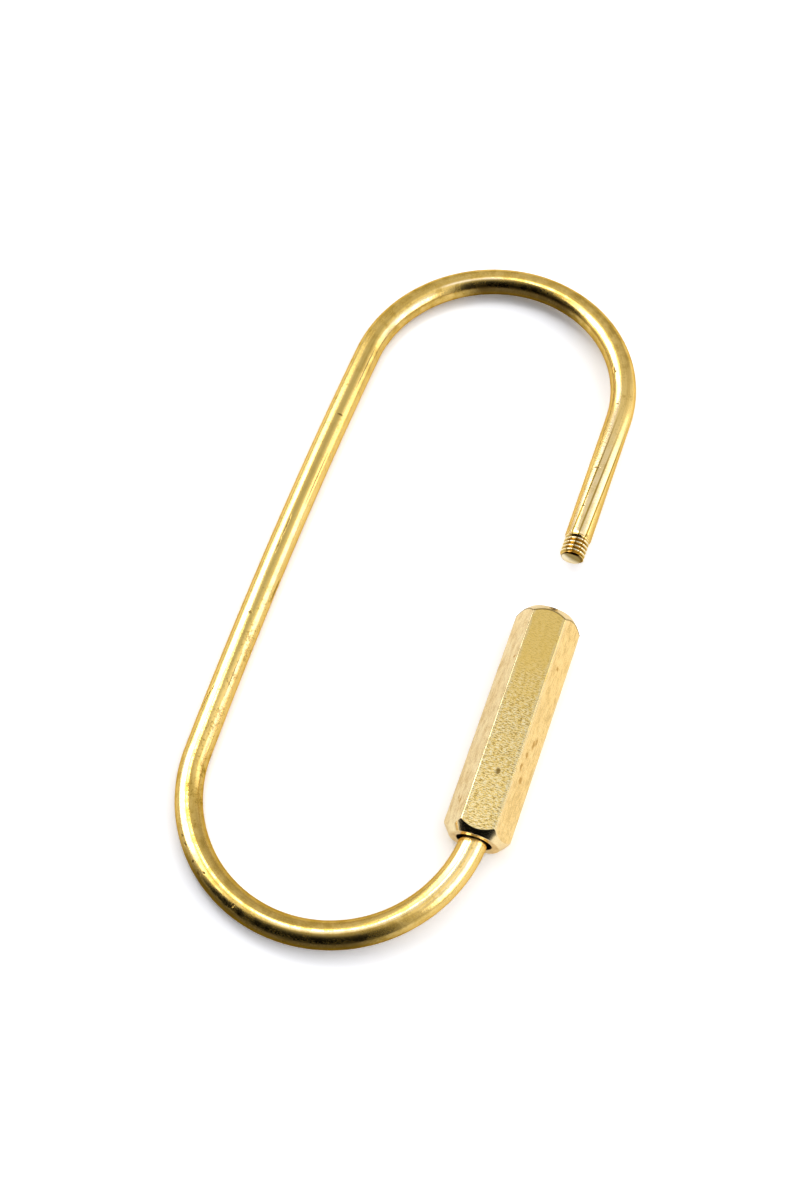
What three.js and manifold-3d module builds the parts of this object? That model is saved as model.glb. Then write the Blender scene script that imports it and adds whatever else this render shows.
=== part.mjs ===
// A capsule-shaped key loop of bent brass wire, lying on a table with its gate open.
// The wire ends in a threaded tip, and a hexagonal sleeve slides along the arm facing it to close the gap.
// Millimetres, +Z up, arms along Y, with the origin on the table under the middle of the whole object.

import * as THREE from "three";
import { mergeVertices } from "three/addons/utils/BufferGeometryUtils.js";
import Module from "manifold-3d";

const wasm = await Module();
wasm.setup();

// Bent wire
const wireDiameter = 3;
const bendRadius = 15.6; // of both end bends, to the middle of the wire
const bendSpacing = 52.6; // between the centres of the two bends
const sideBow = THREE.MathUtils.degToRad(2.2); // what each bend lacks of a half turn, so the long side bows out

// Threaded tip
const threadRelief = 0.1; // from the wire's surface down to the thread's crests
const threadDepth = 0.3;
const threadPitch = 0.5;
const threadLength = 2.5;
const tipChamfer = 0.25;
const tipDome = 0.12; // how far the middle of the end face stands out

// Hexagonal sleeve
const acrossFlats = 6.35;
const sleeveLength = 27;
const chamferWidth = 0.92; // across the ends, from the hexagon's corners inwards
const chamferLength = 1.1; // along the hexagon's corners
const boreClearance = 0.4; // between the bore and the arm, all round
const tapLength = 5; // threaded stretch at the end that meets the tip
const tapClearance = 0.07; // between its cut-back crests and the tip's crests, all round
const tapGrooveDepth = 0.2;
const countersinkDepth = 0.25;

// Rest position, with the gate open
const gateGap = 7.7; // from the sleeve's end to the tip
const mouthPastBend = 1; // how far the sleeve's mouth hangs over the start of the lower bend
const armEndGap = 0.1; // from the lower arm's free end to the step in the bore that stops the sleeve

// Making of the round and threaded faces
const wireSides = 20;
const wireSteps = 104;
const roundSides = 40;
const stepsPerTurn = 16;
const domeSteps = 4;
const ridgeSink = 0.1; // how deep the foot of a thread is sunk into the solid that it joins or leaves
const overrun = 0.4; // by which cutting and joined solids pass the faces that they cross
const crestFlatShare = 1 / 8; // of the pitch
const rootFlatShare = 1 / 5;

const wireRadius = wireDiameter / 2;
const threadRadius = wireRadius - threadRelief;
const boreRadius = wireRadius + boreClearance;
const tapRadius = threadRadius + tapClearance;
const boreStep = boreRadius - tapRadius;
const cornerRadius = acrossFlats / Math.sqrt(3);
const endFaceRadius = cornerRadius - chamferWidth;

// Places along the arms, measured from the middle between the bends
const bendY = bendSpacing / 2;
const mouthY = -bendY - mouthPastBend;
const sleeveTopY = mouthY + sleeveLength;
const tipY = sleeveTopY + gateGap;
const shoulderY = tipY + threadLength;
const armEndY = sleeveTopY - tapLength - boreStep - armEndGap;

// The long side is an arc that takes over where the two bends stop.
const sideRadius = bendRadius + bendY / Math.sin(sideBow);
const sideOffset = (sideRadius - bendRadius) * Math.cos(sideBow); // from the bends' centres to the side's centre
const loopReach = bendRadius + sideRadius - sideOffset; // from the arms out to the middle of the bowed side

// The sleeve is thicker than the wire, so the loop lies tilted, on its bowed side and on the sleeve.
const armHeight = acrossFlats / 2;
const loopTilt = Math.asin((armHeight - wireRadius) / loopReach);

function toSolid(geometry) {
  geometry.deleteAttribute("normal");
  geometry.deleteAttribute("uv");
  const merged = mergeVertices(geometry);
  const mesh = new wasm.Mesh({
    numProp: 3,
    vertProperties: merged.attributes.position.array,
    triVerts: new Uint32Array(merged.index.array),
  });
  return new wasm.Manifold(mesh);
}

function toGeometry(solid) {
  const { vertProperties, triVerts } = solid.getMesh();
  const geometry = new THREE.BufferGeometry();
  geometry.setAttribute("position", new THREE.BufferAttribute(vertProperties, 3));
  geometry.setIndex(new THREE.BufferAttribute(triVerts, 1));
  geometry.computeVertexNormals();
  return geometry;
}

// A solid of revolution about Y, from [radius, height] pairs that start and end on the axis.
function turned(profile) {
  const points = profile.map(([radius, height]) => new THREE.Vector2(radius, height));
  return toSolid(new THREE.LatheGeometry(points, roundSides));
}

// The wire's middle line in its own plane, with both arms on the line x = 0.
class WireRoute extends THREE.Curve {
  constructor() {
    super();
    const bendEnd = Math.PI - sideBow;
    this.path = new THREE.Path();
    this.path.moveTo(0, armEndY);
    this.path.lineTo(0, -bendY);
    this.path.absarc(-bendRadius, -bendY, bendRadius, 0, -bendEnd, true);
    this.path.absarc(sideOffset - bendRadius, 0, sideRadius, -bendEnd, bendEnd, true);
    this.path.absarc(-bendRadius, bendY, bendRadius, bendEnd, 0, true);
    this.path.lineTo(0, shoulderY);
  }

  getPoint(t, target = new THREE.Vector3()) {
    const point = this.path.getPoint(t);
    return target.set(point.x, point.y, 0);
  }
}

// A right-handed helix about Y, whose frames keep a section's first axis pointing straight out.
class ThreadHelix extends THREE.Curve {
  constructor(radius, startY, length) {
    super();
    this.radius = radius;
    this.startY = startY;
    this.length = length;
  }

  getPoint(t, target = new THREE.Vector3()) {
    const angle = (2 * Math.PI * t * this.length) / threadPitch;
    const y = this.startY + t * this.length;
    return target.set(this.radius * Math.sin(angle), y, this.radius * Math.cos(angle));
  }

  computeFrenetFrames(segments) {
    const frames = { tangents: [], normals: [], binormals: [] };
    for (let i = 0; i <= segments; i += 1) {
      const tangent = this.getTangent(i / segments);
      const normal = this.getPoint(i / segments).setY(0).normalize();
      frames.tangents.push(tangent);
      frames.normals.push(normal);
      frames.binormals.push(new THREE.Vector3().crossVectors(tangent, normal));
    }
    return frames;
  }
}

// One thread: a ridge of the given height on a cylinder of the given radius.
function threadRidge(radius, height, startY, length) {
  const halfCrest = (threadPitch * crestFlatShare) / 2;
  const halfFoot = (threadPitch * (1 - rootFlatShare)) / 2;
  const section = new THREE.Shape([
    new THREE.Vector2(-ridgeSink, -halfFoot),
    new THREE.Vector2(height, -halfCrest),
    new THREE.Vector2(height, halfCrest),
    new THREE.Vector2(-ridgeSink, halfFoot),
  ]);
  const steps = Math.ceil((stepsPerTurn * length) / threadPitch);
  const extrudePath = new ThreadHelix(radius, startY, length);
  return toSolid(new THREE.ExtrudeGeometry(section, { steps, extrudePath, bevelEnabled: false }));
}

function wireSweep() {
  const section = new THREE.Shape().absarc(0, 0, wireRadius, 0, 2 * Math.PI);
  return toSolid(
    new THREE.ExtrudeGeometry(section, {
      steps: wireSteps,
      curveSegments: wireSides / 2,
      extrudePath: new WireRoute(),
      bevelEnabled: false,
    }),
  );
}

// The threaded end of the wire, from its domed face up into the wire's full thickness.
function threadedTip() {
  const faceRadius = threadRadius - tipChamfer;
  const coreRadius = threadRadius - threadDepth;
  const topY = shoulderY + overrun;
  const dome = [];
  for (let i = 0; i <= domeSteps; i += 1) {
    const share = i / domeSteps;
    dome.push([faceRadius * share, tipY + tipDome * share ** 2]);
  }
  const envelope = turned([
    ...dome,
    [threadRadius + overrun, tipY + tipDome + tipChamfer + overrun],
    [threadRadius + overrun, topY],
    [0, topY],
  ]);
  const core = turned([
    [0, tipY - overrun],
    [coreRadius, tipY - overrun],
    [coreRadius, topY],
    [0, topY],
  ]);
  const ridge = threadRidge(coreRadius, threadDepth, tipY - threadPitch, threadLength + threadPitch + ridgeSink);
  return core.add(ridge).intersect(envelope);
}

function wireLoop() {
  return toGeometry(wireSweep().add(threadedTip()));
}

// The sleeve stands on its mouth at y = 0 and meets the tip at y = sleeveLength.
function hexSleeve() {
  const barLength = sleeveLength + 2 * overrun;
  const bar = new THREE.CylinderGeometry(cornerRadius, cornerRadius, barLength, 6, 1, false, Math.PI / 2);
  bar.translate(0, sleeveLength / 2, 0);
  const chamferSlope = chamferLength / chamferWidth;
  const rimRadius = cornerRadius + overrun;
  const rimY = chamferSlope * (rimRadius - endFaceRadius);
  const ends = turned([
    [0, 0],
    [endFaceRadius, 0],
    [rimRadius, rimY],
    [rimRadius, sleeveLength - rimY],
    [endFaceRadius, sleeveLength],
    [0, sleeveLength],
  ]);
  const tapStartY = sleeveLength - tapLength;
  const bore = turned([
    [0, -overrun],
    [boreRadius, -overrun],
    [boreRadius, tapStartY - boreStep],
    [tapRadius, tapStartY],
    [tapRadius, sleeveLength - countersinkDepth],
    [tapRadius + countersinkDepth + overrun, sleeveLength + overrun],
    [0, sleeveLength + overrun],
  ]);
  const groove = threadRidge(tapRadius, tapGrooveDepth, tapStartY - threadPitch, tapLength + 2 * threadPitch);
  return toGeometry(toSolid(bar).intersect(ends).subtract(bore).subtract(groove));
}

const drawnBrass = new THREE.MeshStandardMaterial({ color: 0xd2a94f, roughness: 0.28, metalness: 1 });
const milledBrass = new THREE.MeshStandardMaterial({ color: 0xd9b873, roughness: 0.45, metalness: 1 });

const loop = new THREE.Mesh(wireLoop(), drawnBrass);
loop.name = "wire_loop";
loop.rotation.y = -loopTilt;

const sleeve = new THREE.Mesh(hexSleeve(), milledBrass);
sleeve.name = "hex_sleeve";
sleeve.position.y = mouthY;

const arms = new THREE.Group();
arms.add(loop, sleeve);
arms.position.z = armHeight;

const keyLoop = new THREE.Group();
keyLoop.add(arms);
const middle = new THREE.Box3().setFromObject(keyLoop, true).getCenter(new THREE.Vector3());
arms.position.x = -middle.x;
arms.position.y = -middle.y;

export default keyLoop;
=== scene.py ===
# A key loop of bent brass wire lying on a pale table, its hexagon sleeve slid back from the threaded tip.
# Metres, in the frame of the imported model: +Z up, both arms along Y.

import math

import bmesh
import bpy
from mathutils import Matrix, Vector


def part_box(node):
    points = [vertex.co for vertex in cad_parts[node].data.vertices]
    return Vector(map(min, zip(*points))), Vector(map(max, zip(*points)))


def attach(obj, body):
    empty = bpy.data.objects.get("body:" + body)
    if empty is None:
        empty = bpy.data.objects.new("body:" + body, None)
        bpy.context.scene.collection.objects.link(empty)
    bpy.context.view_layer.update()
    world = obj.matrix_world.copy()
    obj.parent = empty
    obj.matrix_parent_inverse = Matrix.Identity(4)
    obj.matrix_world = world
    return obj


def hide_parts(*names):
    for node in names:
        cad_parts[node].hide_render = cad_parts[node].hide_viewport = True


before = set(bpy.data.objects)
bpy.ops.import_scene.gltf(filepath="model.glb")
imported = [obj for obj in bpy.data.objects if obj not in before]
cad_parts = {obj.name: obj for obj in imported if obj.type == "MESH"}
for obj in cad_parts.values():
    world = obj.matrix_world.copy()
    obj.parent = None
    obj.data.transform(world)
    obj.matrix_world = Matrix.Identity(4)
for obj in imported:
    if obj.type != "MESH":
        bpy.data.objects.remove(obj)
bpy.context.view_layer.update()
loopLow, loopHigh = (Vector(corner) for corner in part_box("wire_loop"))
sleeveLow, sleeveHigh = (Vector(corner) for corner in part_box("hex_sleeve"))

mm = 0.001
weldGap = 1e-4 * mm  # points closer than this count as one
yAxis = Vector((0, 1, 0))
zAxis = Vector((0, 0, 1))
origin = Vector()


def inMm(values):
    return [value * mm for value in values]


# The arms share one middle line, which is also the sleeve's.
armX = (sleeveLow.x + sleeveHigh.x) / 2
armZ = (sleeveLow.z + sleeveHigh.z) / 2
loopY = (loopLow.y + loopHigh.y) / 2

wire = {
    "radius": 1.5 * mm,
    "bendRadius": 15.6 * mm,
    "sideBow": math.radians(2.2),  # what each bend lacks of a half turn
    "gateGap": 7.7 * mm,
    "armEnd": 5.53 * mm,  # the plain arm's end, below the sleeve's top
    "sides": 72,
    "ringGap": 0.3 * mm,
    "endRound": 0.15 * mm,
}

thread = {
    "length": 2.5 * mm,
    "pitch": 0.5 * mm,
    "depth": 0.3 * mm,
    "crestRadius": 1.4 * mm,
    "crestShare": 0.22,  # of the pitch, flat before its corners are rounded
    "rootShare": 0.2,
    "cornerRound": 0.045 * mm,
    "seamGap": 2e-3 * mm,  # within which each turn joins the next
    "steps": 72,
    "chamfer": 0.25 * mm,
    "dome": 0.12 * mm,
    "domeRings": 6,
    "runout": 0.45 * mm,  # the last stretch, where the groove grows shallow
}


# Straight rod first: the tip's face at y = 0, then the thread, the upper arm and the rest of the wire.

def measureRoute():
    bendSpacing = loopHigh.y - loopLow.y - 2 * (wire["bendRadius"] + wire["radius"])
    bendY = bendSpacing / 2
    tipY = sleeveHigh.y - loopY + wire["gateGap"]
    armEndY = sleeveHigh.y - loopY - wire["armEnd"]
    sideRadius = wire["bendRadius"] + bendY / math.sin(wire["sideBow"])
    bendTurn = math.pi - wire["sideBow"]
    upperArm = bendY - tipY
    upperBend = upperArm + wire["bendRadius"] * bendTurn
    side = upperBend + 2 * sideRadius * wire["sideBow"]
    lowerBend = side + wire["bendRadius"] * bendTurn
    return {
        "bendY": bendY,
        "tipY": tipY,
        "sideRadius": sideRadius,
        "sideX": (sideRadius - wire["bendRadius"]) * math.cos(wire["sideBow"]) - wire["bendRadius"],
        "ends": (upperArm, upperBend, side, lowerBend, lowerBend + bendY + armEndY),
    }


route = measureRoute()
sideReach = wire["bendRadius"] + route["sideRadius"] - (route["sideX"] + wire["bendRadius"])
loopTilt = math.asin((armZ - loopLow.z - wire["radius"]) / sideReach)
layLoop = Matrix.Translation((armX, loopY, armZ)) @ Matrix.Rotation(-loopTilt, 4, "Y")


def arcPlace(centre, radius, angle, place):
    reach = radius + place.x
    return Vector((centre[0] + reach * math.cos(angle), centre[1] + reach * math.sin(angle), place.z))


def bentPlace(place):
    # where a point of the straight rod comes to lie on the bent loop
    upperArm, upperBend, side, lowerBend, _ = route["ends"]
    bendRadius, bendY = wire["bendRadius"], route["bendY"]
    if place.y < upperArm:
        return Vector((place.x, route["tipY"] + place.y, place.z))
    if place.y < upperBend:
        return arcPlace((-bendRadius, bendY), bendRadius, (place.y - upperArm) / bendRadius, place)
    if place.y < side:
        start = math.pi - wire["sideBow"]
        angle = start + (place.y - upperBend) / route["sideRadius"]
        return arcPlace((route["sideX"], 0), route["sideRadius"], angle, place)
    if place.y < lowerBend:
        start = math.pi + wire["sideBow"]
        return arcPlace((-bendRadius, -bendY), bendRadius, start + (place.y - side) / bendRadius, place)
    return Vector((place.x, place.y - lowerBend - bendY, place.z))


def extrudeEdges(bm, edges, move, scale=1):
    # pulls a ring of edges along the rod, and draws it in or out
    made = bmesh.ops.extrude_edge_only(bm, edges=edges)["geom"]
    verts = [item for item in made if isinstance(item, bmesh.types.BMVert)]
    bmesh.ops.translate(bm, vec=yAxis * move, verts=verts)
    bmesh.ops.scale(bm, vec=(scale, 1, scale), verts=verts)
    return [item for item in made if isinstance(item, bmesh.types.BMEdge)]


def boundaryRing(bm, y):
    # open edges that lie in the plane at this height
    near = 1e-3 * mm
    return [e for e in bm.edges if e.is_boundary and all(abs(v.co.y - y) < near for v in e.verts)]


def threadProfile(bm, crestRadius, rootRadius, start, turns):
    # the outline of several ridges, as a chain of points with rounded corners
    crest, root = thread["crestShare"], thread["rootShare"]
    flank = (1 - crest - root) / 2
    corners = ((0, rootRadius), (root, rootRadius), (root + flank, crestRadius), (1 - flank, crestRadius))
    points = [
        bm.verts.new((0, start + (turn + share) * thread["pitch"], radius))
        for turn in range(turns)
        for share, radius in corners
    ]
    chain = [bm.edges.new(pair) for pair in zip(points, points[1:])]
    bmesh.ops.bevel(
        bm, geom=points[1:-1], offset=thread["cornerRound"], segments=3,
        profile=0.5, affect="VERTICES", clamp_overlap=True, material=-1,
    )
    return chain


def screwSheet(crestRadius, rootRadius, low, high):
    # a right-handed thread as an open sheet, cut off square at both heights
    bm = bmesh.new()
    pitch = thread["pitch"]
    turns = math.ceil((high - low) / pitch) + 2
    threadProfile(bm, crestRadius, rootRadius, low - 1.5 * pitch, turns)
    bmesh.ops.spin(
        bm, geom=bm.edges[:] + bm.verts[:], cent=origin, axis=yAxis, angle=math.tau,
        dvec=yAxis * pitch / thread["steps"], steps=thread["steps"],
    )
    bmesh.ops.remove_doubles(bm, verts=bm.verts, dist=thread["seamGap"])
    for height, inward in ((low, -1), (high, 1)):
        bmesh.ops.bisect_plane(
            bm, geom=bm.verts[:] + bm.edges[:] + bm.faces[:], dist=weldGap,
            plane_co=yAxis * height, plane_no=yAxis * inward, clear_outer=True,
        )
    return bm


def turnThreadEnds(bm):
    # the tip's chamfer trims the crests, and the groove runs out before the shoulder
    faceRadius = thread["crestRadius"] - thread["chamfer"]
    runoutStart = thread["length"] - thread["runout"]
    rootRadius = thread["crestRadius"] - thread["depth"]
    for vert in bm.verts:
        radius = math.hypot(vert.co.x, vert.co.z)
        trimmed = min(radius, faceRadius + vert.co.y)
        share = max(0, (vert.co.y - runoutStart) / thread["runout"])
        trimmed = max(trimmed, rootRadius + share * (thread["crestRadius"] - rootRadius))
        vert.co.x *= trimmed / radius
        vert.co.z *= trimmed / radius


def domeTip(bm):
    # closes the tip with a low dome, ring by ring
    ring = boundaryRing(bm, 0)
    radius = thread["crestRadius"] - thread["chamfer"]
    count = thread["domeRings"]
    edges = ring
    for index in range(1, count):
        share = 1 - index / count
        before = 1 - (index - 1) / count
        rise = thread["dome"] * (before ** 2 - share ** 2)
        edges = extrudeEdges(bm, edges, -rise, share / before)
    bmesh.ops.edgeloop_fill(bm, edges=edges)
    print("tip closed,", len(ring), "edges round,", round(radius / mm, 2), "mm wide")


def straightRod():
    bm = screwSheet(thread["crestRadius"], thread["crestRadius"] - thread["depth"], 0, thread["length"])
    turnThreadEnds(bm)
    domeTip(bm)
    threadEnd = boundaryRing(bm, thread["length"])
    made = bmesh.ops.create_circle(bm, segments=wire["sides"], radius=thread["crestRadius"])["verts"]
    bmesh.ops.rotate(bm, verts=made, cent=origin, matrix=Matrix.Rotation(math.pi / 2, 3, "X"))
    lip = 0.05 * mm
    bmesh.ops.translate(bm, verts=made, vec=yAxis * (thread["length"] + lip))
    start = list({edge for vert in made for edge in vert.link_edges})
    bmesh.ops.bridge_loops(bm, edges=threadEnd + start)
    edges = start
    # the shoulder rises from the thread in short steps, up to the wire's full thickness
    for move, scale in ((0.01 * mm, 1.03), (0.03 * mm, 1.02), (0.05 * mm, 1.0)):
        edges = extrudeEdges(bm, edges, move, scale)
    radius = max(math.hypot(v.co.x, v.co.z) for edge in edges for v in edge.verts)
    edges = extrudeEdges(bm, edges, 0.08 * mm, wire["radius"] / radius)
    reached = edges[0].verts[0].co.y
    length = route["ends"][-1] - wire["endRound"] - reached
    edges = extrudeEdges(bm, edges, length)
    runs = [edge for edge in bm.edges if edge.calc_length() > length / 2]
    bmesh.ops.subdivide_edges(bm, edges=runs, cuts=round(length / wire["ringGap"]))
    edges = extrudeEdges(bm, edges, wire["endRound"], 1 - wire["endRound"] / wire["radius"])
    bmesh.ops.edgeloop_fill(bm, edges=edges)
    bmesh.ops.recalc_face_normals(bm, faces=bm.faces)
    print("rod:", len(bm.faces), "faces,", round(route["ends"][-1] / mm, 1), "mm long")
    return bm


def finishMesh(bm, name, smoothAngle):
    mesh = bpy.data.meshes.new(name)
    bm.to_mesh(mesh)
    bm.free()
    mesh.shade_smooth()
    mesh.set_sharp_from_angle(angle=math.radians(smoothAngle))
    piece = bpy.data.objects.new(name, mesh)
    bpy.context.scene.collection.objects.link(piece)
    return piece


def bendWire():
    bm = straightRod()
    straight = bm.verts.layers.float_vector.new("straight")  # place on the rod before bending
    for vert in bm.verts:
        vert[straight] = vert.co
        vert.co = layLoop @ bentPlace(vert.co)
    return finishMesh(bm, "bent_wire", smoothAngle=35)


bentWire = bendWire()
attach(bentWire, "loop")
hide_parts("wire_loop")
print("wire bent")


# The sleeve: hexagon bar turned down at both ends, bored and tapped.

sleeve = {
    "length": sleeveHigh.y - sleeveLow.y,
    "acrossFlats": sleeveHigh.z - sleeveLow.z,
    "arris": 0.1 * mm,  # rounding of the long corners
    "edgeRound": 0.035 * mm,  # of the turned edges
    "edgeAngle": math.radians(18),  # edges sharper than this are rounded
    "chamferWidth": 0.92 * mm,
    "chamferLength": 1.1 * mm,
    "boreRadius": 1.9 * mm,
    "boreEdge": 0.08 * mm,
    "tapLength": 5.0 * mm,
    "tapRadius": 1.47 * mm,
    "tapDepth": 0.2 * mm,
    "countersink": 0.25 * mm,
    "sides": 144,
}


def hexBar():
    corner = sleeve["acrossFlats"] / math.sqrt(3)
    bm = bmesh.new()
    bmesh.ops.create_circle(bm, cap_ends=True, segments=6, radius=corner)
    bmesh.ops.rotate(bm, verts=bm.verts, cent=origin, matrix=Matrix.Rotation(math.pi / 6, 3, "Z"))
    bmesh.ops.rotate(bm, verts=bm.verts, cent=origin, matrix=Matrix.Rotation(math.pi / 2, 3, "X"))
    spare = 1 * mm
    bmesh.ops.translate(bm, verts=bm.verts, vec=yAxis * -spare)
    made = bmesh.ops.extrude_face_region(bm, geom=bm.faces[:])["geom"]
    verts = [item for item in made if isinstance(item, bmesh.types.BMVert)]
    bmesh.ops.translate(bm, verts=verts, vec=yAxis * (sleeve["length"] + 2 * spare))
    corners = [e for e in bm.edges if abs(e.verts[0].co.y - e.verts[1].co.y) > spare]
    bmesh.ops.bevel(
        bm, geom=corners, offset=sleeve["arris"], segments=4, profile=0.5, affect="EDGES", material=-1,
    )
    bmesh.ops.recalc_face_normals(bm, faces=bm.faces)
    return finishMesh(bm, "hex_bar", smoothAngle=30)


def turnedBlank():
    # everything that the lathe and the tap leave: end faces, chamfers, bore, step, thread and countersink
    length = sleeve["length"]
    endRadius = sleeve["acrossFlats"] / math.sqrt(3) - sleeve["chamferWidth"]
    slope = sleeve["chamferLength"] / sleeve["chamferWidth"]
    rim = sleeve["acrossFlats"]
    rimY = slope * (rim - endRadius)
    tapTop = length - sleeve["countersink"]
    tapStart = length - sleeve["tapLength"]
    grooveRadius = sleeve["tapRadius"] + sleeve["tapDepth"]
    bore, edge = sleeve["boreRadius"], sleeve["boreEdge"]
    lead, lip = 0.05 * mm, 0.02 * mm  # short plain steps below and above the thread
    bm = screwSheet(sleeve["tapRadius"], grooveRadius, tapStart, tapTop)
    tapLoops = boundaryRing(bm, tapStart), boundaryRing(bm, tapTop)
    outline = (
        (sleeve["tapRadius"], tapStart - lead),
        (bore, tapStart - (bore - sleeve["tapRadius"])),
        (bore, edge),
        (bore + edge, 0),
        (endRadius, 0),
        (rim, rimY),
        (rim, length - rimY),
        (endRadius, length),
        (sleeve["tapRadius"] + sleeve["countersink"] + lead, length),
        (grooveRadius, tapTop + lip),
    )
    points = [bm.verts.new((0, y, radius)) for radius, y in outline]
    chain = [bm.edges.new(pair) for pair in zip(points, points[1:])]
    bmesh.ops.spin(
        bm, geom=points + chain, cent=origin, axis=yAxis, angle=math.tau,
        steps=sleeve["sides"], use_merge=True,
    )
    for tapLoop, place in zip(tapLoops, (outline[0], outline[-1])):
        bmesh.ops.bridge_loops(bm, edges=tapLoop + boundaryRing(bm, place[1]))
    bmesh.ops.recalc_face_normals(bm, faces=bm.faces)
    return finishMesh(bm, "turned_blank", smoothAngle=30)


def intersect(bar, blank):
    # keeps what the bar and the blank share
    cut = bar.modifiers.new("turning", "BOOLEAN")
    cut.operation = "INTERSECT"
    cut.solver = "EXACT"
    cut.object = blank
    bpy.context.view_layer.update()
    turned = bar.evaluated_get(bpy.context.evaluated_depsgraph_get())
    shaped = bpy.data.meshes.new_from_object(turned)
    for spent in (bar, blank):
        bpy.data.objects.remove(spent)
    bm = bmesh.new()
    bm.from_mesh(shaped)
    return bm


def makeSleeve():
    bm = intersect(hexBar(), turnedBlank())
    bmesh.ops.remove_doubles(bm, verts=bm.verts, dist=weldGap)
    outside = sleeve["boreRadius"] + sleeve["boreEdge"] / 2
    sharp = [
        e for e in bm.edges
        if e.is_manifold and e.calc_face_angle() > sleeve["edgeAngle"]
        and min(math.hypot(v.co.x, v.co.z) for v in e.verts) > outside
    ]
    bmesh.ops.bevel(
        bm, geom=sharp, offset=sleeve["edgeRound"], segments=2, profile=0.5,
        affect="EDGES", clamp_overlap=True, material=-1,
    )
    bmesh.ops.translate(bm, verts=bm.verts, vec=(armX, sleeveLow.y, armZ))
    print("sleeve:", len(bm.faces), "faces,", sum(not e.is_manifold for e in bm.edges), "open edges")
    return finishMesh(bm, "hexagon_sleeve", smoothAngle=6)


hexSleeve = makeSleeve()
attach(hexSleeve, "sleeve")
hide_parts("hex_sleeve")


# Shader maths as expressions

class Flow:
    # one output of a node tree: sums and products of flows add their Math nodes
    def __init__(self, tree, socket=None):
        self.tree = tree
        self.socket = socket

    def node(self, kind, settings=None, sockets=None, out=0):
        made = self.tree.nodes.new(kind)
        for name, value in (settings or {}).items():
            setattr(made, name, value)
        for name, value in (sockets or {}).items():
            if isinstance(value, Flow):
                self.tree.links.new(value.socket, made.inputs[name])
            else:
                made.inputs[name].default_value = value
        return Flow(self.tree, made.outputs[out] if made.outputs else None)

    def output(self, name):
        return Flow(self.tree, self.socket.node.outputs[name])

    def math(self, operation, *values):
        return self.node("ShaderNodeMath", {"operation": operation}, dict(enumerate(values)))

    def smooth(self, value, low, high):
        # 0 below the low value, 1 above the high one
        return self.node("ShaderNodeMapRange", {"interpolation_type": "SMOOTHSTEP"}, {
            "Value": value, "From Min": low, "From Max": high,
        })

    def window(self, value, low, high, edge):
        # 1 between both values, fading out over the edge's width
        return self.smooth(value, low, low + edge) * (1 - self.smooth(value, high - edge, high))

    def vector(self, operation, *values, out=0):
        return self.node("ShaderNodeVectorMath", {"operation": operation}, dict(enumerate(values)), out)

    def length(self, place):
        return self.vector("LENGTH", place, out=1)

    def stretch(self, place, scales):
        return self.vector("MULTIPLY", place, scales)

    def tint(self, share, colour, start):
        # the start colour plus a share of another
        return self.vector("MULTIPLY_ADD", share, colour, start)

    def blend(self, share, start, end):
        return self.node("ShaderNodeMix", {"data_type": "RGBA"}, {0: share, 6: start, 7: end}, 2)

    def noise(self, place, size, detail=2.0, out=0):
        # cloudy values from 0 to 1 with features about this wide
        return self.node("ShaderNodeTexNoise", None, {
            "Vector": place, "Scale": 1 / size, "Detail": detail,
        }, out)

    def __add__(self, other):
        return self.math("ADD", self, other)

    def __sub__(self, other):
        return self.math("SUBTRACT", self, other)

    def __rsub__(self, other):
        return self.math("SUBTRACT", other, self)

    def __mul__(self, other):
        return self.math("MULTIPLY", self, other)

    __radd__ = __add__
    __rmul__ = __mul__


def newMaterial(name):
    material = bpy.data.materials.new(name)
    material.use_nodes = True
    material.node_tree.nodes.clear()
    return material, Flow(material.node_tree)


def finishMetal(flow, colour, roughness, height, coat, edgeTint):
    # heights are in metres, and the edge tint is the colour at a glancing view
    bump = flow.node("ShaderNodeBump", None, {"Height": height, "Strength": 1.0, "Distance": 1.0})
    shader = flow.node("ShaderNodeBsdfPrincipled", None, {
        "Base Color": colour, "Metallic": 1.0, "Roughness": roughness, "Normal": bump,
        "Coat Weight": coat, "Coat Roughness": 0.3, "Specular Tint": edgeTint,
    })
    flow.node("ShaderNodeOutputMaterial", None, {"Surface": shader})


def spots(flow, place, marks):
    # one mask of all marks: each a soft spot with its own half widths along x, y and z
    mask = None
    for centre, halves in marks:
        away = flow.stretch(flow.vector("SUBTRACT", place, centre), [1 / half for half in halves])
        spot = 1 - flow.smooth(flow.length(away), 0.45, 1.1)
        mask = spot if mask is None else mask.math("MAXIMUM", mask, spot)
    return mask


def wobbled(flow, place, size, amount):
    # shakes places a little, so that the outlines of marks turn ragged
    shake = flow.vector("SUBTRACT", flow.noise(place, size, out=1), (0.5, 0.5, 0.5))
    return flow.vector("MULTIPLY_ADD", shake, (amount, amount, amount), place)


# Marks on the wire: millimetres from the tip, degrees round from the outer side over the top,
# half the length along the wire and half the width across it
wireMarks = (
    (11.4, 107, 0.10, 0.50),
    (20.4, 108, 0.10, 0.25),
    (6.2, 108, 0.10, 0.20),
    (70.0, 128, 3.40, 0.06),
    (86.0, 133, 4.20, 0.06),
    (112.0, 126, 3.20, 0.06),
    (25.6, 130, 0.45, 0.16),
    (25.2, 127, 0.16, 0.20),
    (77.2, 110, 0.14, 0.40),
    (93.0, 95, 1.60, 0.10),
    (95.6, 94, 1.30, 0.08),
    (100.6, 170, 1.90, 0.16),
    (104.4, 95, 0.16, 0.26),
    (130.6, 48, 0.18, 0.20),
    (131.6, 50, 0.24, 0.14),
    (133.6, 52, 0.16, 0.18),
    (134.9, 46, 0.34, 0.20),
    (135.3, 68, 0.20, 0.14),
    (139.8, 64, 0.12, 0.24),
    (145.6, 24, 0.20, 0.20),
)

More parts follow.
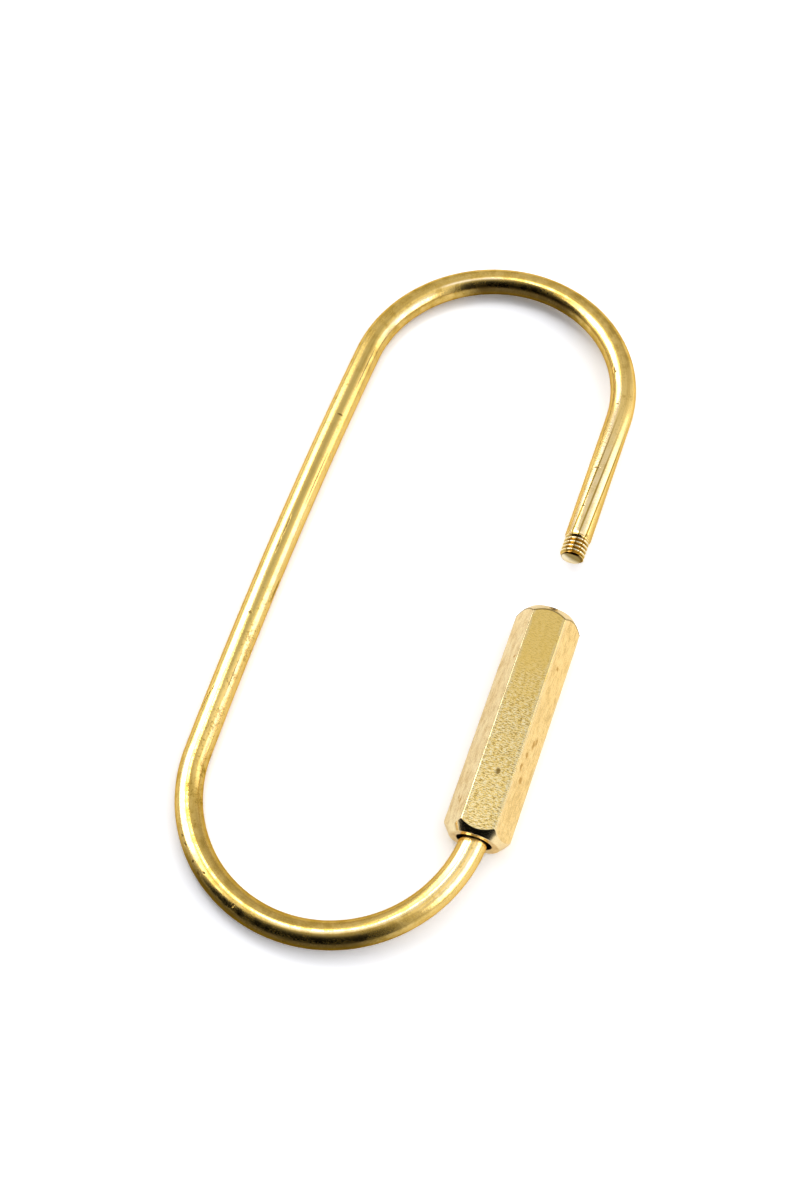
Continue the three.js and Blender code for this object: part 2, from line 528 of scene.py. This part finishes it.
# a dent's curved edge, as places along the wire and round it in the same terms
wireNick = ((114.1, 64), (114.6, 56), (115.2, 51), (115.8, 47), (116.4, 45))
nickHalves = (0.12, 0.42, 0.12)  # mm

drawn = {
    "clean": (0.94, 0.67, 0.23, 1),
    "streaked": (0.72, 0.48, 0.13, 1),
    "olive": (0.62, 0.45, 0.13, 1),
    "tarnished": (0.62, 0.41, 0.09, 1),
    # painted shade on the bends' flanks: near black where they mirror the dark front, brown lower down
    # where they mirror the shaded table
    "paintedShade": (0.06, 0.036, 0.01, 1),
    "brown": (0.12, 0.065, 0.012, 1),
    # painted shade in the thread's grooves
    "groove": (0.27, 0.155, 0.012, 1),
    # painted highlight on the thread's crests
    "crest": (1.0, 0.93, 0.68, 1),
    "paintedFaceShade": (0.28, 0.21, 0.085, 1),  # the tip's end face, painted shade above and on its outer side
    # the same face below, a painted reflection of the pale table
    "paintedFaceReflection": (1.0, 0.92, 0.70, 1),
    "mark": (0.14, 0.08, 0.02, 1),
    "stain": (0.36, 0.22, 0.04, 1),
    "edge": (0.88, 0.66, 0.33, 1),
    "drawLine": 0.16 * mm,  # width of the lines left by drawing
    "grainSize": 0.16 * mm,
    "speckleSize": 0.22 * mm,
    "cloudSize": 1.3 * mm,
    "lumpSize": 2.2 * mm,
    "lineDepth": 0.0060 * mm,
    "grainDepth": 0.0028 * mm,
    "speckleDepth": 0.0070 * mm,
    "lumpHeight": 0.014 * mm,
    "markDepth": 0.03 * mm,
    "raggedSize": 0.25 * mm,  # of the notches in the outlines of marks
    "raggedBy": 0.12 * mm,
    # stretches, each as start, end and fading edge in mm from the tip
    "bends": ((18, 76, 15), (114, 166, 12)),  # tarnished
    "paintedShadeInside": (33, 54, 5),  # where the upper bend's inner flank gets painted shade
    "paintedShadeOutside": (127, 160, 9),  # where the lower bend's outer flank gets painted shade
    "flankTop": (1.1, 1.55),  # mm over the middle line between which both flanks end
    "darkerInside": (122, 166, 8),  # where the lower bend is darker on its inner flank
    "innerFlank": (112, 130),  # degrees round the wire between which that flank starts
    "freckled": (98, 136, 8),  # where brown specks lie on the inner side
    "oliveAlong": (58, 118, 10),  # where an olive band runs on top
    "oliveAcross": (-0.62, 0.26, 0.3),  # mm from the wire's middle line
    "twist": math.radians(-1.7) / mm,  # of the scores on the upper arm, for each metre along it
    "scores": ((123.5, 1.0), (93.5, 0.35), (59.5, 1.0)),  # degrees round the wire at the tip, and darkness
    "scoreWidth": math.radians(5.6),  # from the middle to the faint edge
    "scoreWobble": math.radians(5),  # how far they stray
    "scoreEnds": (9, 21),  # mm from the tip between which they fade
    "facet": math.radians(32),  # width of the flats between them
    "facetMiddle": math.radians(106),
    "facetDepth": 0.25,  # share of a true flat
    "score": (0.62, 0.40, 0.06, 1),
    "scoreDeep": (0.20, 0.12, 0.012, 1),
    # pale colour laid where highlights fall: painted highlight
    "paintedHighlight": (1.0, 0.82, 0.52, 1),
    "paintedHighlightArm": (57, 146, 4),  # degrees round the scored arm where its painted highlight lies: from, to and edge
    "paintedHighlightLess": (91, 124, 3),
    # stretches painted pale as painted highlights, where the lamps' highlights fall: start, end and edge in
    # mm, then degrees from and to
    "pale": (
        (11, 25, 4, 94, 120),
        (20, 38, 5, 104, 132),
        (45, 56, 3, 103, 120),
        (46, 55, 3, 105, 118),
        (54, 67, 4, 118, 152),
        (80, 104, 9, 70, 88),
        (94, 126, 8, 64, 94),
        (86, 126, 8, 122, 150),
        (120, 135, 4, 54, 88),
        (142, 170, 4, 78, 96),
        (158, 184, 6, 42, 76),
        (163, 186, 4, 98, 126),
    ),
    "paleEdge": 7,  # degrees
}


def rodPlace(along, angle):
    turn = math.radians(angle)
    return Vector((wire["radius"] * math.cos(turn), along * mm, wire["radius"] * math.sin(turn)))


def drawnBrass():
    material, flow = newMaterial("drawn brass")
    place = flow.node("ShaderNodeAttribute", {"attribute_name": "straight"}, None, 1)
    parts = flow.node("ShaderNodeSeparateXYZ", None, {0: place})
    along, up = parts.output("Y"), parts.output("Z")
    bend = 0
    for stretch in drawn["bends"]:
        bend = flow.window(along, *inMm(stretch)) + bend

    lineWidth = drawn["drawLine"]
    fineLines = flow.noise(flow.stretch(place, (1, 0.015, 1)), lineWidth, 3.0)
    wideLines = flow.noise(flow.stretch(place, (1, 0.03, 1)), 5 * lineWidth, 3.0)
    crossGrain = flow.noise(flow.stretch(place, (0.3, 1, 0.3)), drawn["grainSize"], 3.0)
    cloud = flow.noise(place, drawn["cloudSize"], 4.0)
    speckle = flow.noise(place, drawn["speckleSize"], 3.0)
    lumps = flow.noise(flow.stretch(place, (1, 0.25, 1)), drawn["lumpSize"], 1.0)

    out = parts.output("X")
    streak = flow.smooth(wideLines, 0.42, 0.60)
    mottle = flow.smooth(cloud + speckle * 0.5, 0.62, 0.88)
    freckles = flow.smooth(speckle * 0.6 + cloud * 0.4, 0.53, 0.62)

    # scores twist round the upper arm, with a slight flat between each two
    around = up.math("ARCTAN2", up, out)
    turn = around - along * drawn["twist"] + wideLines * drawn["scoreWobble"]
    score = deep = 0
    for degrees, darkness in drawn["scores"]:
        away = turn - math.radians(degrees)
        line = 1 - flow.smooth(away.math("ABSOLUTE", away), 0.3 * drawn["scoreWidth"], drawn["scoreWidth"])
        score = line + score
        deep = line * darkness + deep
    fade = 1 - flow.smooth(along, *inMm(drawn["scoreEnds"]))
    score = score * fade
    deep = deep * fade * (flow.smooth(fineLines, 0.35, 0.5) * 0.3 + 0.7)
    onArm = fade * flow.smooth(along, thread["length"], thread["length"] + 0.1 * mm)
    half = drawn["facet"] / 2
    fromMiddle = turn.math("WRAP", turn - drawn["facetMiddle"], half, -half)
    flats = fromMiddle * fromMiddle * onArm * (0.5 * wire["radius"] * drawn["facetDepth"])
    # the arm is painted pale between its outer scores as painted highlight, most of all beside them
    between = flow.window(turn, *map(math.radians, drawn["paintedHighlightArm"]))
    middle = flow.window(turn, *map(math.radians, drawn["paintedHighlightLess"]))
    pale = onArm * between * (0.9 - middle * 0.2)
    # painted highlights along the loop
    for start, end, edge, low, high in drawn["pale"]:
        stripe = flow.window(along, *inMm((start, end, edge)))
        stripe = stripe * flow.window(around, *map(math.radians, (low, high, drawn["paleEdge"])))
        pale = stripe * 0.65 + pale
    # an olive band along the top of the long side
    band = flow.window(out + wideLines * 0.4 * mm, *inMm(drawn["oliveAcross"]))
    band = band * flow.window(along, *inMm(drawn["oliveAlong"]))
    # painted shade on the bends' flanks, below the wire's top, where they mirror the dark front and the
    # shaded table
    inside = flow.window(along, *inMm(drawn["paintedShadeInside"]))
    outside = flow.window(along, *inMm(drawn["paintedShadeOutside"]))
    outer = flow.smooth(out, -0.2 * mm, 0.2 * mm)
    flank = 1 - flow.smooth(up + cloud * 0.4 * mm, *inMm(drawn["flankTop"]))
    flank = flank * (inside * (1 - outer) + outside * outer)
    marks = [(rodPlace(at, angle), inMm((width, length, width))) for at, angle, length, width in wireMarks]
    marks += [(rodPlace(at, angle), inMm(nickHalves)) for at, angle in wireNick]
    mark = spots(flow, wobbled(flow, place, drawn["raggedSize"], drawn["raggedBy"]), marks)

    # the thread's grooves get painted shade and its crests a painted highlight; the end face gets a painted
    # reflection of the table below and painted shade above
    radius = flow.length(flow.stretch(place, (1, 0, 1)))
    crestRadius = thread["crestRadius"]
    groove = 1 - flow.smooth(radius, crestRadius - 0.8 * thread["depth"], crestRadius - 0.02 * mm)
    groove = groove * flow.window(along, thread["chamfer"], thread["length"], 0.1 * mm)
    crest = flow.smooth(radius, crestRadius - 0.06 * mm, crestRadius - 0.02 * mm)
    crest = crest * (1 - flow.smooth(along, thread["length"] - 0.1 * mm, thread["length"]))
    faceRadius = crestRadius - thread["chamfer"]
    face = 1 - flow.smooth(along, thread["dome"], thread["dome"] + 0.06 * mm)
    above = flow.smooth(up + out * 0.6 + cloud * 0.9 * mm, -0.05 * mm, 1.0 * mm)
    faceColour = flow.blend(above, drawn["paintedFaceReflection"], drawn["paintedFaceShade"])
    rim = face * flow.smooth(radius, faceRadius - 0.12 * mm, faceRadius)

    colour = flow.blend(streak * 0.6, drawn["clean"], drawn["streaked"])
    colour = flow.blend(freckles * (mottle * 0.3 + 0.5), colour, drawn["streaked"])
    colour = flow.blend(band * 0.75, colour, drawn["olive"])
    colour = flow.blend(bend * (mottle * 0.5 + 0.45), colour, drawn["tarnished"])
    stain = flow.smooth(fineLines * 0.35 + wideLines * 0.3 + cloud * 0.35, 0.50, 0.60)
    colour = flow.blend(stain * (bend * 0.4 + 0.1), colour, drawn["stain"])
    # darker on the lower bend's inner flank
    dull = flow.window(along, *inMm(drawn["darkerInside"]))
    dull = dull * flow.smooth(around, *map(math.radians, drawn["innerFlank"]))
    colour = flow.blend(dull * 0.45, colour, drawn["stain"])
    specks = freckles * flow.window(along, *inMm(drawn["freckled"])) * (1 - outer)
    # painted highlights: the pale colour
    colour = flow.blend(pale * (1 - mottle * 0.4), colour, drawn["paintedHighlight"])
    colour = flow.blend(score * 0.9, colour, drawn["score"])
    colour = flow.blend(deep.math("MAXIMUM", deep * 0.9, specks * 0.5), colour, drawn["scoreDeep"])
    # painted highlight on the thread's crests
    colour = flow.blend(crest * (1 - score * 0.9), colour, drawn["crest"])
    # painted shade on the bends' flanks
    paintedShadeColour = flow.blend(flow.smooth(up, -0.4 * mm, 0.45 * mm), drawn["brown"], drawn["paintedShade"])
    colour = flow.blend(flank * 0.92, colour, paintedShadeColour)
    # painted shade in the thread's grooves
    colour = flow.blend(groove * 0.9, colour, drawn["groove"])
    # painted reflection below and painted shade above on the tip's end face
    colour = flow.blend(face, colour, faceColour)
    colour = flow.blend(mark.math("MAXIMUM", mark, rim) * 0.85, colour, drawn["mark"])
    roughness = 0.14 + specks * 0.12 + fineLines * 0.06 + bend * mottle * 0.10 + flank * 0.08 + mark * 0.2
    height = fineLines * ((1 - bend * 0.7) * drawn["lineDepth"]) + lumps * drawn["lumpHeight"]
    calm = 1 - inside - outside
    height = height + crossGrain * (bend * calm * drawn["grainDepth"])
    height = height + speckle * (calm * drawn["speckleDepth"])
    height = height + flats - mark * drawn["markDepth"]
    finishMetal(flow, colour, roughness, height, 0.0, drawn["edge"])
    return material


# Marks on the sleeve's flats: places in mm from the middle of the mouth, and half widths
sleeveMarks = (
    ((0.25, 7.10, 3.17), (0.34, 0.50, 0.34)),
    ((2.65, 7.35, 1.80), (0.30, 0.50, 0.40)),
    ((2.30, 8.60, 2.35), (0.20, 0.60, 0.30)),
    ((2.45, 10.1, 2.10), (0.20, 0.36, 0.30)),
    ((2.75, 11.6, 1.60), (0.22, 0.80, 0.26)),
    ((2.95, 12.1, 1.30), (0.16, 0.60, 0.24)),
    ((2.60, 20.6, 1.85), (0.24, 0.30, 0.30)),
    ((-2.60, 3.30, 1.85), (0.10, 0.75, 0.14)),
    ((-2.80, 3.70, 1.40), (0.10, 0.60, 0.12)),
    ((-2.15, 20.2, 2.60), (0.20, 0.18, 0.36)),
    ((0.80, 13.5, 3.17), (0.06, 0.40, 0.20)),
)

milled = {
    "clean": (1.0, 0.83, 0.50, 1),
    "dull": (0.92, 0.68, 0.33, 1),
    "worn": (0.84, 0.57, 0.115, 1),  # the upper flat, dulled by handling
    "wornMouth": (0.97, 0.70, 0.20, 1),  # the same flat towards the mouth, under its bright and dark marks
    "pitted": (0.30, 0.18, 0.02, 1),
    "turned": (0.96, 0.80, 0.48, 1),
    # pale colour of the painted glints on the upper flat, and of the polish on the long corners
    "bright": (1.0, 0.90, 0.60, 1),
    "mark": (0.15, 0.09, 0.02, 1),
    "blotch": (0.50, 0.28, 0.06, 1),
    "outside": (1.0, 0.69, 0.25, 1),  # the yellower flat on the outer side
    "stroke": (0.60, 0.38, 0.12, 1),
    # a greyer tone painted on the rounding of the long corners, strongest on the left, which turns the
    # lamp's highlight there white: painted highlight
    "paintedArrisTone": (0.62, 0.51, 0.32, 1),
    # chips on the long corners, darker on the left as painted shade that breaks up the lamp's highlight
    "chipShade": (0.36, 0.25, 0.10, 1),
    "edge": (0.97, 0.86, 0.70, 1),
    "paintedShade": (0.03, 0.02, 0.01, 1),  # painted shade inside the bore
    "chatterWidth": 0.09 * mm,  # of the fine marks across the flats
    "speckleSize": 0.09 * mm,
    "strokeWidth": 0.12 * mm,  # of the scratches along them
    "patchSize": 0.8 * mm,
    "cloudSize": 2.4 * mm,
    "chatterDepth": 0.003 * mm,
    "strokeDepth": 0.003 * mm,
    "speckleDepth": 0.002 * mm,
    "markDepth": 0.005 * mm,
    "raggedSize": 0.35 * mm,
    "raggedBy": 0.35 * mm,
    "ridgeFrom": 0.065 * mm,  # depths below the sharp corner between which its rounding starts
    "ridgeTo": 0.045 * mm,
    "wornWidth": 0.09 * mm,  # how far the polish of the long corners reaches
    "upperFrom": 2.95 * mm,  # heights over the sleeve's middle between which the upper flat starts
    "upperTo": 3.12 * mm,
    # mm from the mouth between which a finish starts or ends
    "mouthEnd": (2, 22),
    "scoredEnd": (17, 26),
    "lipStart": (20, 24),
    # mm to the right of the sleeve's middle, likewise
    "outsideStart": (1.0, 2.4),
    "rightStart": (-0.5, 0.5),
}


def milledBrass():
    material, flow = newMaterial("milled brass")
    place = flow.vector("SUBTRACT", flow.node("ShaderNodeTexCoord", out=3), (armX, sleeveLow.y, armZ))
    parts = flow.node("ShaderNodeSeparateXYZ", None, {0: place})
    along = parts.output("Y")
    radius = flow.length(flow.stretch(place, (1, 0, 1)))

    chatter = flow.noise(flow.stretch(place, (0.2, 1, 0.2)), milled["chatterWidth"], 2.0)
    strokes = flow.noise(flow.stretch(place, (1, 0.12, 1)), milled["strokeWidth"], 3.0)
    speckle = flow.noise(place, milled["speckleSize"], 3.0)
    cloud = flow.noise(place, milled["cloudSize"], 4.0)
    patches = flow.noise(flow.stretch(place, (1, 0.5, 1)), milled["patchSize"], 3.0)

    # the lower two thirds are scored across, the rest is nearly smooth
    scored = 1 - flow.smooth(along + cloud * 10 * mm, *inMm(milled["scoredEnd"]))
    grain = chatter * 0.65 + speckle * 0.35
    paintedGlints = flow.smooth(grain, 0.515, 0.56) * (scored * 0.85 + 0.15)
    pits = flow.smooth(1 - grain, 0.525, 0.57) * (scored * 0.7 + 0.3)
    corner = sleeve["acrossFlats"] / math.sqrt(3)
    arris = radius - (corner - sleeve["arris"] - milled["wornWidth"])
    arris = flow.smooth(arris, 0.0, milled["wornWidth"])
    ridge = flow.smooth(radius, corner - milled["ridgeFrom"], corner - milled["ridgeTo"])
    worn = arris * flow.smooth(patches + speckle * 0.4, 0.55, 0.75)
    chipsAndShade = ridge * flow.smooth(speckle * 0.6 + patches * 0.4, 0.46, 0.54)
    upper = flow.smooth(parts.output("Z"), milled["upperFrom"], milled["upperTo"])

    # the turned chamfers are smoother, and the bore is painted black as shade
    toEnd = along.math("MINIMUM", along, sleeve["length"] - along)
    cone = corner - sleeve["chamferWidth"] + toEnd * (sleeve["chamferWidth"] / sleeve["chamferLength"])
    turned = flow.smooth(radius - cone, -0.06 * mm, -0.01 * mm)
    bore = 1 - flow.smooth(radius, sleeve["boreRadius"] + 0.01 * mm, sleeve["boreRadius"] + 0.05 * mm)
    marks = [(inMm(centre), inMm(halves)) for centre, halves in sleeveMarks]
    mark = spots(flow, wobbled(flow, place, milled["raggedSize"], milled["raggedBy"]), marks)

    clouded = flow.smooth(cloud * 0.6 + patches * 0.4, 0.4, 0.62)
    colour = flow.blend(clouded * 0.45, milled["clean"], milled["dull"])
    outside = flow.smooth(parts.output("X"), *inMm(milled["outsideStart"]))
    colour = flow.blend(outside * 0.8, colour, milled["outside"])
    towardsMouth = 1 - flow.smooth(along, *inMm(milled["mouthEnd"]))
    colour = flow.blend(upper * 0.85, colour, flow.blend(towardsMouth, milled["worn"], milled["wornMouth"]))
    colour = flow.blend(pits * (upper * 0.7 + 0.15) * (1 - turned), colour, milled["pitted"])
    # painted glints: bright specks in the scoring where the lamps would glint
    colour = flow.blend(paintedGlints * (upper * 0.8 + 0.15) * (1 - turned), colour, milled["bright"])
    colour = flow.blend(flow.smooth(strokes, 0.53, 0.6) * (0.5 - upper * 0.5), colour, milled["stroke"])
    fleck = flow.smooth(speckle * 0.5 + patches * 0.5, 0.51, 0.58)
    colour = flow.blend(fleck * (0.5 - upper * 0.46), colour, milled["stroke"])
    # painted highlight tone and painted shade on the long corners, strongest on the left where the lamp's
    # highlight runs
    rightward = flow.smooth(parts.output("X"), *inMm(milled["rightStart"]))
    colour = flow.blend(ridge * (0.8 - rightward * 0.7), colour, milled["paintedArrisTone"])
    colour = flow.blend(worn * 0.3, colour, milled["bright"])
    colour = flow.blend(chipsAndShade * (0.9 - rightward * 0.6), colour, milled["chipShade"])
    colour = flow.blend(mark * 0.85, colour, flow.blend(upper, milled["blotch"], milled["mark"]))
    colour = flow.blend(turned * 0.6, colour, milled["turned"])
    # a dark rim beside the chamfer at the tip's end
    lip = flow.window(radius - cone, -0.16 * mm, 0.01 * mm, 0.05 * mm)
    lip = lip * flow.smooth(along, *inMm(milled["lipStart"]))
    colour = flow.blend(lip * (patches * 0.5 + 0.5), colour, milled["mark"])
    # painted shade inside the bore
    colour = flow.blend(bore, colour, milled["paintedShade"])
    rough = 0.20 + patches * 0.08 - paintedGlints * 0.04 - worn * 0.08 + mark * 0.15
    roughness = rough + turned * (0.16 - rough) + bore * 0.3
    height = chatter * ((scored * 0.8 + 0.2) * milled["chatterDepth"]) + speckle * milled["speckleDepth"]
    height = (height + strokes * milled["strokeDepth"]) * (1 - turned * 0.9)
    height = height - mark * milled["markDepth"]
    finishMetal(flow, colour, roughness, height, 0.1, milled["edge"])
    return material


bentWire.data.materials.append(drawnBrass())
hexSleeve.data.materials.append(milledBrass())
print("brass done")


# Table, light and camera

tableTop = {
    "reach": 0.6,  # metres from its middle to its edges
    "drop": 0.01 * mm,  # below the loop
    "plain": (0.70, 0.70, 0.70),
    "mirrored": (0.26, 0.26, 0.26),  # added where the camera or the metal sees the table
    "seen": (0.29, 0.30, 0.345),  # added for the camera, a little cooler against the glow of the brass
    "far": (2.0, 2.0, 2.0),  # added for the camera towards the table's edge, where little light falls
    "farFrom": 0.14,  # metres from its middle
    "farTo": 0.45,
}


def paleTable():
    bm = bmesh.new()
    bmesh.ops.create_grid(bm, x_segments=2, y_segments=2, size=tableTop["reach"])
    bmesh.ops.translate(bm, verts=bm.verts, vec=zAxis * -tableTop["drop"])
    table = finishMesh(bm, "table", smoothAngle=30)
    material, flow = newMaterial("pale table")
    path = flow.node("ShaderNodeLightPath")
    camera = path.output("Is Camera Ray")
    mirrored = path.output("Is Glossy Ray") + path.output("Is Transmission Ray")
    # only where the eye sees the metal, not where the metal throws light back on the table
    mirrored = camera + mirrored * (1 - mirrored.math("MINIMUM", path.output("Diffuse Depth"), 1.0))
    tone = flow.tint(mirrored, tableTop["mirrored"], tableTop["plain"])
    tone = flow.tint(camera, tableTop["seen"], tone)
    away = flow.length(flow.node("ShaderNodeTexCoord", out=3))
    far = camera * flow.smooth(away, tableTop["farFrom"], tableTop["farTo"])
    tone = flow.tint(far, tableTop["far"], tone)
    cloth = flow.node("ShaderNodeBsdfDiffuse", None, {"Color": tone})
    flow.node("ShaderNodeOutputMaterial", None, {"Surface": cloth})
    table.data.materials.append(material)


# Each lamp's width and height in metres, its direction from the loop, its distance in metres,
# its strength in watts and what it lights
studio = {
    "key lamp": ((0.49, 0.36), (-0.77, 0.09, 0.62), 0.5, 1.70, "metal"),
    "key spill": ((0.49, 0.36), (-0.77, 0.09, 0.62), 0.5, 0.79, "table"),
    "overhead spill": ((0.50, 0.50), (0.10, 0.10, 0.99), 0.6, 0.82, "table"),
    "fill lamp": ((0.30, 0.30), (0.87, -0.13, 0.47), 0.5, 0.70, "both"),
    "side lamp": ((0.14, 0.38), (0.82, 0.44, 0.37), 0.5, 0.19, "both"),
    "top lamp": ((0.055, 0.055), (-0.30, 0.146, 0.943), 0.262, 0.072, "both"),
}


def softLamp(name, size, direction, distance, power, lit):
    lamp = bpy.data.lights.new(name, "AREA")
    lamp.shape = "RECTANGLE"
    lamp.size, lamp.size_y = size
    lamp.energy = power
    holder = bpy.data.objects.new(name, lamp)
    holder.visible_diffuse = lit != "metal"
    holder.visible_glossy = lit != "table"
    back = Vector(direction).normalized()
    turn = back.to_track_quat("Z", "Y").to_matrix().to_4x4()
    holder.matrix_world = Matrix.Translation(back * distance) @ turn
    bpy.context.scene.collection.objects.link(holder)


room = {
    "radius": 2.5,
    "back": 0.38,  # brightness behind the loop, near the table
    "rise": 0.36,  # added towards the ceiling
    "riseFrom": 0.55,  # heights on the unit sphere between which it is added
    "riseTo": 0.97,
    "sides": 0.39,  # added towards both sides
    "sidesFrom": 0.45,
    "sidesTo": 0.90,
    "front": (-0.13, -0.99, 0.0),  # direction in which the room is dark
    "frontFrom": 0.56,  # cosines of the angles between which it grows dark
    "frontTo": 0.71,
    "frontRise": 13,  # how late towards the ceiling it grows bright again, as a power of the height
    "behind": 0.30,  # added low down behind the loop
    "behindFrom": 0.45,  # cosines of the angles between which it is added
    "behindTo": 0.85,
    "lowFrom": 0.60,  # heights on the unit sphere between which it fades
    "lowTo": 0.95,
}


def glowingRoom():
    # soft walls all round, pale at the back and sides and dark in front, which the camera looks through
    bm = bmesh.new()
    bmesh.ops.create_icosphere(bm, subdivisions=3, radius=room["radius"])
    walls = finishMesh(bm, "room_walls", smoothAngle=30)
    walls.visible_camera = False
    material, flow = newMaterial("room light")
    place = flow.node("ShaderNodeTexCoord", out=3)
    direction = flow.vector("NORMALIZE", place)
    level = flow.vector("NORMALIZE", flow.stretch(place, (1, 1, 0)))
    ahead = flow.vector("DOT_PRODUCT", level, room["front"], out=1)
    height = flow.node("ShaderNodeSeparateXYZ", None, {0: direction}).output("Z")
    across = flow.node("ShaderNodeSeparateXYZ", None, {0: level}).output("X")
    sides = flow.smooth(across.math("ABSOLUTE", across), room["sidesFrom"], room["sidesTo"]) * room["sides"]
    rise = flow.smooth(height, room["riseFrom"], room["riseTo"]) * room["rise"]
    overhead = height.math("POWER", height.math("MAXIMUM", height, 0.0), room["frontRise"])
    lit = 1 - flow.smooth(ahead, room["frontFrom"], room["frontTo"]) * (1 - overhead)
    low = 1 - flow.smooth(height, room["lowFrom"], room["lowTo"])
    behind = flow.smooth(0 - ahead, room["behindFrom"], room["behindTo"]) * low * room["behind"]
    glow = flow.node("ShaderNodeEmission", None, {"Strength": (sides + rise + behind + room["back"]) * lit})
    flow.node("ShaderNodeOutputMaterial", None, {"Surface": glow})
    walls.data.materials.append(material)


def whiteWorld():
    world = bpy.data.worlds.new("white beyond")
    world.use_nodes = True
    world.node_tree.nodes["Background"].inputs["Color"].default_value = (1, 1, 1, 1)
    bpy.context.scene.world = world


view = {
    "target": (-2.165 * mm, -2.167 * mm, 0),
    "distance": 187.5 * mm,
    "azimuth": math.radians(21.291),
    "elevation": math.radians(64.334),
    "roll": math.radians(2.196),
    "lens": 50,
}


def placeCamera():
    lens = bpy.data.cameras.new("camera")
    lens.lens = view["lens"]
    lens.clip_start = 10 * mm
    camera = bpy.data.objects.new("camera", lens)
    level = math.cos(view["elevation"])
    back = Vector((
        math.sin(view["azimuth"]) * level, -math.cos(view["azimuth"]) * level, math.sin(view["elevation"]),
    ))
    turn = back.to_track_quat("Z", "Y").to_matrix().to_4x4() @ Matrix.Rotation(-view["roll"], 4, "Z")
    camera.matrix_world = Matrix.Translation(Vector(view["target"]) + back * view["distance"]) @ turn
    bpy.context.scene.collection.objects.link(camera)
    bpy.context.scene.camera = camera


paleTable()
for name, settings in studio.items():
    softLamp(name, *settings)
glowingRoom()
whiteWorld()
placeCamera()
bpy.context.scene.view_settings.view_transform = "Standard"
print("studio lit")
